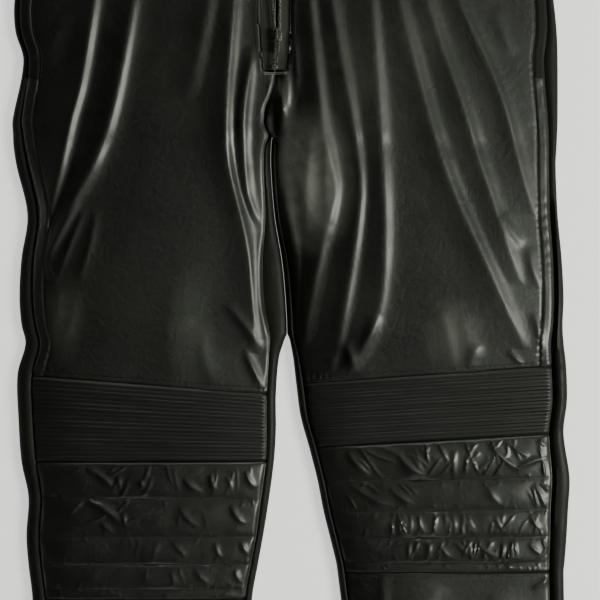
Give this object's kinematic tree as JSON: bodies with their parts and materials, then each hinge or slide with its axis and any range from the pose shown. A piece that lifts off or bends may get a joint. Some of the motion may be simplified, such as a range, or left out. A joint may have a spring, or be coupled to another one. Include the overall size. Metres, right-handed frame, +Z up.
{
  "type": "leather trousers",
  "caption": "Full-length leather trousers laid flat, with ribbed knee bands, padded shin channels, zip fly and side pockets.",
  "frame": {"origin": "on the floor plane under the middle of the garment's bounding box", "axes": "+Z up from the floor, +Y towards the waist, +X towards the wearer's left leg"},
  "size_m": [0.56, 1.05, 0.0325],
  "materials": {
    "leather": "smooth, semi-gloss, worn in",
    "ribbed_leather": "ribbed stretch panel, semi-gloss",
    "zip_tape": "woven tape, matt",
    "aged_metal": "dulled nickel plate"
  },
  "bodies": {
    "garment": {"front_right": "leather", "front_left": "leather", "knee_right": "ribbed_leather", "knee_left": "ribbed_leather", "shin_right": "leather", "shin_left": "leather", "lower_front_right": "leather", "lower_front_left": "leather", "back_right": "leather", "back_left": "leather", "waistband_right": "leather", "waistband_left": "leather", "waistband_back": "leather", "pocket_facing_right": "leather", "pocket_facing_left": "leather", "fly_tape_right": "zip_tape", "fly_tape_left": "zip_tape", "waist_stud": "aged_metal", "fly_stop": "aged_metal", "fly_slider": "aged_metal"},
    "pull_tab": {"fly_pull": "aged_metal"}
  },
  "joints": [
    {"name": "fly_pull_hinge", "type": "hinge", "parent": "garment", "child": "pull_tab", "pos_m": [-0.0142, 0.35, 0.02506], "axis": [-1, 0, 0], "range_deg": [0, 150]}
  ]
}
